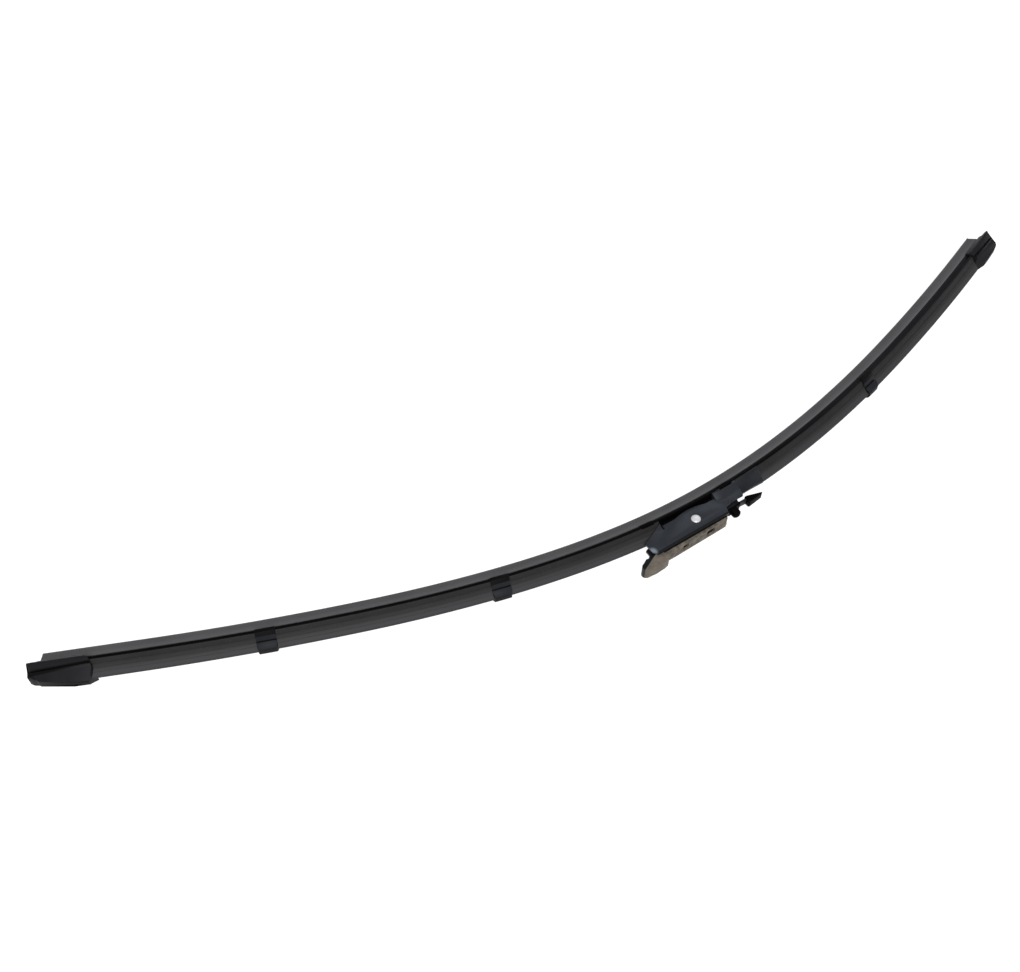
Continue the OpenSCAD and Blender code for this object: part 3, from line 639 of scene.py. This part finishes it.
# %% [markdown]
# ## The spoiler
#
# The spoiler presses the blade onto the glass at speed. Its flanks are drawn in steps,
# which show as fine lines along the whole blade, and it is hollow over the head of the rubber.
# On the connector's side it is cut along the slope of the connector's wing.
# Its crest is lifted 1 mm over the solid's, as the photograph shows it.

# %% Spoiler
crest_lift = 1.0
solid_top = 5.9
crest_high, crest_half, edge_top, shoulder = solid_top + crest_lift, 0.7, 1.05, 5.6 + crest_lift
crest_ease = 0.2
flank_steps, ledge, flank_curve = 4, 0.3, 0.75
hollow_half, hollow_high, hollow_top, hollow_top_half = 2.3, head_top + 0.1, solid_top - 1.5, 0.5


def flank(t):
    """Height and side of the flank, from its foot at 0 to the shoulder at 1."""
    side = rail_edge - (rail_edge - crest_half - crest_ease) * t ** flank_curve
    return edge_top + (shoulder - edge_top) * t, side


def spoiler_section():
    steps = [(flank(i / flank_steps)[0], flank(i / flank_steps)[1] + k * ledge)
             for i in range(1, flank_steps) for k in (1, 0)]
    outer = [(rail_half, rail_edge), (edge_top, rail_edge), *steps, (shoulder, crest_half + crest_ease),
             (crest_high, crest_half - crest_ease)]
    inner = [(rail_half, hollow_half), (hollow_high, hollow_half), (hollow_top, hollow_top_half)]
    return rounded(mirrored(outer), 0.16) + rounded([(h, -z) for h, z in inner] + list(reversed(inner)), 0.1)


def prism(name, outline, half_wide):
    """A closed block from a side view in mm as (along, height over the pivot's rails)."""
    shape = bmesh.new()
    ring = [shape.verts.new((x * MM, (beam_y - h) * MM, -half_wide * MM)) for x, h in outline]
    face = shape.faces.new(ring)
    grown = bmesh.ops.extrude_face_region(shape, geom=[face])
    moved = [v for v in grown["geom"] if isinstance(v, bmesh.types.BMVert)]
    bmesh.ops.translate(shape, verts=moved, vec=(0, 0, 2 * half_wide * MM))
    bmesh.ops.recalc_face_normals(shape, faces=shape.faces)
    mesh = bpy.data.meshes.new(name)
    shape.to_mesh(mesh)
    shape.free()
    made = bpy.data.objects.new(name, mesh)
    bpy.context.scene.collection.objects.link(made)
    return made


cap_long, foot_right, fairing_long = 28.2, 30.2, 16
cap_left_in, cap_right_in = cap_long - cap_left_tip, cap_right_tip - cap_long
wing_near, wing_far, wing_low, wing_high, wing_top = -17.8, -31.8, 1.55, 7.8, 14.8
wing_past, wing_half = 0.5, 7.4
spoiler_left = sweep("spoiler_long", spoiler_section(), cap_left_in, wing_near, spoiler_rubber)
wing_view = [(wing_far, wing_high), (wing_near, wing_low), (wing_near + wing_past, wing_low),
             (wing_near + wing_past, wing_top), (wing_far, wing_top)]
spoiler_left = cut(spoiler_left, prism("wing", wing_view, wing_half))
spoiler_right = sweep("spoiler_short", spoiler_section(), foot_right + fairing_long, cap_right_in,
                      spoiler_rubber)
print("spoilers", len(spoiler_left.data.polygons), len(spoiler_right.data.polygons), "faces")

# %% [markdown]
# ## Moulded pieces with eased edges
#
# A mould can't make a knife edge, and it is the small radius on each edge that catches the light.
# Each moulded piece is a copy of its solid, with doubled points merged, flat triangles joined,
# and every sharp edge rounded by a Bevel modifier.
# Then the clips' and the fairing's backs follow the lifted crest of the spoiler. The fairing's lift
# starts past the adapter's wedge, which would touch it as the adapter rocks.
# The clips' claws are shortened. Each cap gets a curved crest from a list of heights, a rounder tip
# and a leaning inner end, as the photograph shows them.

# %% Eased copies of the solids
merge_m, flat_degrees, sharp_degrees, smooth_degrees = 2e-6, 0.6, 28, 40


def limited(value, high=1.0):
    """The value held between 0 and a limit."""
    return min(max(value, 0.0), high)


def eased(node, name, width_mm, material, segments=2):
    mesh = frame["nodes"][node].data.copy()
    mesh.name = name
    made = bpy.data.objects.new(name, mesh)
    bpy.context.scene.collection.objects.link(made)
    shape = bmesh.new()
    shape.from_mesh(mesh)
    bmesh.ops.remove_doubles(shape, verts=shape.verts, dist=merge_m)
    bmesh.ops.dissolve_degenerate(shape, edges=shape.edges, dist=merge_m)
    bmesh.ops.dissolve_limit(shape, angle_limit=math.radians(flat_degrees), verts=shape.verts,
                             edges=shape.edges)
    shape.to_mesh(mesh)
    shape.free()
    mesh.materials.clear()
    mesh.materials.append(material)
    bevel = made.modifiers.new("ease", "BEVEL")
    bevel.width = width_mm * MM
    bevel.segments = segments
    bevel.limit_method = "ANGLE"
    bevel.angle_limit = math.radians(sharp_degrees)
    made.name = name + " sharp"
    made = plain_mesh(made, name)
    made.data.shade_smooth()
    made.data.set_sharp_from_angle(angle=math.radians(smooth_degrees))
    return made


def place_at(station):
    """The middle of the rails, in metres, at a station of the bow."""
    x, y, _ = on_bow(station)
    return Vector((x * MM, y * MM, 0.0))


def along_at(station):
    """The direction along the blade, towards its shorter half, at a station of the bow."""
    heading = on_bow(station)[2]
    return Vector((math.cos(heading), math.sin(heading), 0.0))


def back_at(station):
    """The direction away from the glass at a station of the bow."""
    heading = on_bow(station)[2]
    return Vector((math.sin(heading), -math.cos(heading), 0.0))


def height_at(station):
    """A rule that gives the height over the rails, in metres, seen from a station of the bow."""
    x, y, heading = on_bow(station)
    return lambda p: (p.x - x * MM) * math.sin(heading) - (p.y - y * MM) * math.cos(heading)


def raised(piece, station, lift, claw=1.0, rise=None):
    """Lifts the back of a piece by so many mm and shortens its claws to a share.

    With a rise of two places along the blade, in mm, the lift grows from 0 at the first to all at the second.
    """
    start, up = place_at(station), back_at(station)
    for point in piece.data.vertices:
        high = (point.co - start).dot(up) / MM
        share = limited((high - edge_top) / (solid_top - edge_top))
        if rise:
            share *= limited((point.co.x / MM - rise[0]) / (rise[1] - rise[0]))
        point.co += up * share * lift * MM
        if high < -rail_half:
            point.co += up * (high + rail_half) * (claw - 1) * MM
    return piece


def mark_shaded_faces(piece, rule):
    """Marks the faces whose normal meets the rule with the attribute that paints shade on them."""
    marks = piece.data.attributes.new("rim", "FLOAT", "FACE")
    marks.data.foreach_set("value", [1.0 if rule(face.normal) else 0.0 for face in piece.data.polygons])
    return piece


# The height of each cap's crest at some places from its inner end, in mm, as the photograph shows it
left_crest = [(0, 9.4), (9, 8.9), (16, 8.2), (19.5, 8.0), (21, 7.6), (22.2, 6.9), (23.2, 6.1),
              (24.2, 5.3), (25.6, 4.8), (26.8, 4.3), (28.2, 3.6), (29, 3.4)]
right_crest = [(0, 8.3), (17, 8.1), (22.7, 7.9), (25, 7.3), (26.5, 6.2), (27.5, 4.8), (28.2, 3.2), (29, 3.0)]
# The solid cap's crest is level, then falls evenly, and ends in a round nose
cap_top, cap_fall, cap_level, nose_radius, nose_middle = 8.3, 0.8, 4, 6, 1.55
# The crest is shaped above a foot. The lean is in full so far above it, and ends so far past the level part
cap_foot, lean_high, lean_long = 1.2, 7, 12
# The tip's rounding begins at a height and grows to full over a rise. Its last tenth keeps one width
round_low, round_rise, round_end = -1, 3, 0.9


def solid_crest(far):
    """The height of the crest of the cap's solid, in mm, at a place from its inner end."""
    nose_start = cap_long - nose_radius
    if far > nose_start:
        return nose_middle + math.sqrt(max(nose_radius ** 2 - (far - nose_start) ** 2, 0.01))
    return cap_top - cap_fall * max(far - cap_level, 0) / (nose_start - cap_level)


def drawn_crest(places, far):
    """The height between two of the listed places."""
    for (near, low), (next_far, high) in zip(places, places[1:]):
        if far <= next_far:
            return low + (high - low) * max(far - near, 0) / (next_far - near)
    return places[-1][1]


def shaped_cap(piece, inner, places, lean, tip):
    """Gives a cap's back the listed crest and a round tip of so many mm.

    The upper corner of its inner end moves outwards by the lean, in mm.
    """
    start, up = place_at(inner), back_at(inner)
    outward = along_at(inner) * (1 if inner > 0 else -1)
    for point in piece.data.vertices:
        far, high = (point.co - start).dot(outward) / MM, (point.co - start).dot(up) / MM
        past = limited((far - cap_long + tip) / tip, round_end)
        point.co.z *= 1 - (1 - math.sqrt(1 - past ** 2)) * limited((high - round_low) / round_rise)
        if high < cap_foot:
            continue
        grow = (drawn_crest(places, far) - cap_foot) / (solid_crest(far) - cap_foot)
        share = min((high - cap_foot) / lean_high, 1.0) * limited(1 - (far - cap_level) / lean_long)
        point.co += up * (high - cap_foot) * (grow - 1) * MM + outward * lean * share * MM
    return piece


def level(piece, rule):
    """Stores what the rule says of each point as the attribute that the moulded plastics read."""
    values = piece.data.attributes.new("level", "FLOAT", "POINT")
    values.data.foreach_set("value", [rule(v.co) for v in piece.data.vertices])
    return piece


cheek_high, cheek_fall = 14.3, math.radians(2.1)
adapter_tilt, belly_slope = math.radians(3.0), math.atan2(2.3, 5.3)
belly_at, belly_high = 34.4, 4.2


def over_cheek(p):
    """How far a point stands over the sloping top edge of the cheeks."""
    return beam_y * MM - p.y - (cheek_high * MM - p.x * math.tan(cheek_fall))


def over_belly(p):
    """How far a point of the thumb pad stands over its sloping underside, from its belly to its tip."""
    along = p.x * math.cos(adapter_tilt) + (p.y - pivot_y) * math.sin(adapter_tilt)
    high = p.x * math.sin(adapter_tilt) - (p.y - pivot_y) * math.cos(adapter_tilt)
    return (along + belly_at * MM) * math.sin(belly_slope) + (high - belly_high * MM) * math.cos(belly_slope)


def clip_piece(node, station):
    """A clip, with painted shade on its back and its ends."""
    piece = raised(eased(node, "spoiler_" + node, 0.14, clip_plastic), station, lift=0.4, claw=0.3)
    along, back = along_at(station), back_at(station)
    mark_shaded_faces(piece, lambda normal: abs(normal.dot(along)) > 0.6 or normal.dot(back) > 0.85)
    return level(piece, height_at(station))


def cap_piece(node, inner, places, lean, tip):
    """A cap: the right one with painted shade on its inner end, and the left one on its back and tip."""
    piece = shaped_cap(eased(node, "blade_" + node, 0.25, cap_plastic), inner, places, lean, tip)
    along, back = along_at(inner), back_at(inner)
    if inner > 0:
        mark_shaded_faces(piece, lambda normal: normal.dot(along) < -0.3)
    else:
        mark_shaded_faces(piece, lambda normal: normal.dot(back) > 0.85 or normal.dot(along) < -0.6)
    return level(piece, height_at(inner))


fairing_middle, fairing_rise = 38, (36, 46)
moulded = {
    "clip_outer": clip_piece("clip_outer", -215.5),
    "clip_inner": clip_piece("clip_inner", -103.5),
    "clip_short": clip_piece("clip_short", 139),
    "end_cap_left": cap_piece("end_cap_left", cap_left_in, left_crest, lean=-2.8, tip=5),
    "end_cap_right": cap_piece("end_cap_right", cap_right_in, right_crest, lean=3.5, tip=7),
    "carrier": eased("carrier", "steel_carrier", 0.12, carrier_steel),
    "connector_base": level(eased("connector_base", "connector_cheeks", 0.25, base_plastic), over_cheek),
    "fairing": raised(eased("fairing", "connector_fairing", 0.2, fairing_plastic), fairing_middle,
                      lift=crest_lift, rise=fairing_rise),
    "adapter_body": level(eased("adapter_body", "arm_adapter", 0.2, adapter_plastic), over_cheek),
    "adapter_nose": level(eased("adapter_nose", "arm_adapter_nose", 0.5, nose_plastic, segments=3),
                          over_belly),
    "lock_tongue": eased("lock_tongue", "adapter_tongue", 0.15, tongue_plastic),
    "lock_peg": eased("lock_peg", "adapter_lock_peg", 0.2, lock_plastic),
    "lock_wedge": eased("lock_wedge", "adapter_wedge", 0.2, lock_plastic)}
print("eased pieces", {k: len(v.data.polygons) for k, v in moulded.items()})

# %% [markdown]
# ## Turned pieces
#
# The rivet, its washer and the bush are turned, so each is a half profile spun about the pivot.

# %% Lathe
turn_steps, seam_m = 64, 1e-7


def turned_piece(name, profile, material):
    """Spins a closed profile, in mm as (radius, place across the blade), about the pivot."""
    shape = bmesh.new()
    ring = [shape.verts.new((radius * MM, pivot_y, across * MM)) for radius, across in profile]
    edges = [shape.edges.new(pair) for pair in zip(ring, ring[1:])]
    if profile[0][0] > 0:
        edges.append(shape.edges.new((ring[-1], ring[0])))
    bmesh.ops.spin(shape, geom=ring + edges, cent=(0, pivot_y, 0), axis=(0, 0, 1), dvec=(0, 0, 0),
                   angle=2 * math.pi, steps=turn_steps, use_merge=True)
    bmesh.ops.remove_doubles(shape, verts=shape.verts, dist=seam_m)
    bmesh.ops.recalc_face_normals(shape, faces=shape.faces)
    mesh = bpy.data.meshes.new(name)
    shape.to_mesh(mesh)
    shape.free()
    mesh.materials.append(material)
    mesh.shade_smooth()
    mesh.set_sharp_from_angle(angle=crease)
    made = bpy.data.objects.new(name, mesh)
    bpy.context.scene.collection.objects.link(made)
    return made


cheek_out, washer_thick, tail = 5.0, 0.4, 0.8
rivet_radius, rivet_head, head_high, dome_parts = 2.0, 2.45, 0.7, 10
dome_turns = [math.pi / 2 * i / dome_parts for i in range(dome_parts + 1)]
dome = [(rivet_head * math.sin(turn), cheek_out + head_high * math.cos(turn)) for turn in dome_turns]
washer_side = -cheek_out - washer_thick
rivet_end = washer_side - tail
rivet_profile = dome + [(rivet_radius, cheek_out), (rivet_radius, washer_side), (rivet_head, washer_side),
                        (rivet_radius - 0.2, rivet_end), (0.0, rivet_end)]
washer_in, washer_out, washer_ease = 2.03, 3.1, 0.05
washer_profile = [(washer_in, -cheek_out), (washer_out - washer_ease, -cheek_out),
                  (washer_out, -cheek_out - washer_ease), (washer_out, washer_side), (washer_in, washer_side)]
bush_in, bush_out, bush_half = 2.05, 2.7, 3.7
bush_profile = [(bush_in, bush_half), (bush_out, bush_half), (bush_out, -bush_half), (bush_in, -bush_half)]
turned_pieces = {
    "pivot_rivet": turned_piece("pivot_rivet_turned", rivet_profile, rivet_steel),
    "rivet_washer": turned_piece("rivet_washer_flat", washer_profile, rivet_steel),
    "pivot_bush": turned_piece("pivot_bush_turned", bush_profile, bush_steel)}
print("turned pieces", {k: len(v.data.polygons) for k, v in turned_pieces.items()})

# %% [markdown]
# ## Floor, backdrop and light
#
# The blade lies on its side on white paper. A large lamp beside the camera lights what it sees,
# and a weaker bluish one stands opposite, like a window. The room is dim, so that black plastic
# has little to mirror and stays black. Camera and mirrors see the paper glow white.

# %% Stage
floor_half, floor_glow, room_light, lamp_size = 40.0, 0.92, 0.25, 1.4


def make_floor():
    mesh = bpy.data.meshes.new("studio floor")
    corners = [(x * floor_half, y * floor_half, cad_low.z) for x, y in ((-1, -1), (1, -1), (1, 1), (-1, 1))]
    mesh.from_pydata(corners, [], [(0, 1, 2, 3)])
    floor = bpy.data.objects.new("studio floor", mesh)
    bpy.context.scene.collection.objects.link(floor)
    material, tree = new_material("white paper", "none")
    ray = add_node(tree, "ShaderNodeLightPath").outputs
    seen = add_node(tree, "ShaderNodeMath", {0: ray["Is Camera Ray"], 1: ray["Is Glossy Ray"]},
                    operation="MAXIMUM")
    seen_all = add_node(tree, "ShaderNodeMath", {0: seen.outputs[0], 1: ray["Is Transmission Ray"]},
                        operation="MAXIMUM")
    glow = add_node(tree, "ShaderNodeEmission", values={"Color": (1, 1, 1, 1), "Strength": floor_glow})
    paper = add_node(tree, "ShaderNodeBsdfDiffuse", values={"Color": linear("#9a9a9a")})
    both = add_node(tree, "ShaderNodeAddShader", {0: glow.outputs[0], 1: paper.outputs[0]})
    pick = add_node(tree, "ShaderNodeMixShader",
                    {0: seen_all.outputs[0], 1: paper.outputs[0], 2: both.outputs[0]})
    add_node(tree, "ShaderNodeOutputMaterial", {"Surface": pick.outputs[0]})
    mesh.materials.append(material)


def make_world():
    world = bpy.data.worlds.new("soft room")
    world.use_nodes = True
    tree = world.node_tree
    tree.nodes.clear()
    room = add_node(tree, "ShaderNodeBackground", values={"Color": (1, 1, 1, 1), "Strength": room_light})
    add_node(tree, "ShaderNodeOutputWorld", {"Surface": room.outputs[0]})
    bpy.context.scene.world = world


def area_lamp(name, place, aim, watts, colour=(1.0, 1.0, 1.0)):
    data = bpy.data.lights.new(name, "AREA")
    data.shape = "SQUARE"
    data.size = lamp_size
    data.energy = watts
    data.color = colour
    lamp = bpy.data.objects.new(name, data)
    lamp.location = place
    lamp.rotation_mode = "QUATERNION"
    lamp.rotation_quaternion = (Vector(aim) - Vector(place)).to_track_quat("-Z", "Y")
    bpy.context.scene.collection.objects.link(lamp)


make_floor()
make_world()
area_lamp("key lamp", (-0.9, -1.5, 2.4), (0, 0.04, 0), 75)
area_lamp("window", (2.0, 1.5, 2.2), (0.15, 0.05, 0), 12, (0.85, 0.92, 1.0))
bpy.context.scene.view_settings.view_transform = "Standard"
print("floor at", round(cad_low.z / MM, 2), "mm")

# %% [markdown]
# ## Riding on the frame
#
# Each piece stands for its solid and moves with that solid's body.
# The adapter rocks on the rivet, so its pieces ride on the adapter and the rest on the blade.

# %% Ride and replace
swept = {"squeegee": squeegee, "rail_upper": rails[0], "rail_lower": rails[1],
         "spoiler_left": spoiler_left, "spoiler_right": spoiler_right}
bpy.data.objects.remove(bow_path)
for node, piece in {**swept, **moulded, **turned_pieces}.items():
    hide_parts(node)
    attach(piece, frame["nodes"][node]["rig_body"])
print("solids", [round(v / MM, 2) for v in (*cad_low, *cad_high)])
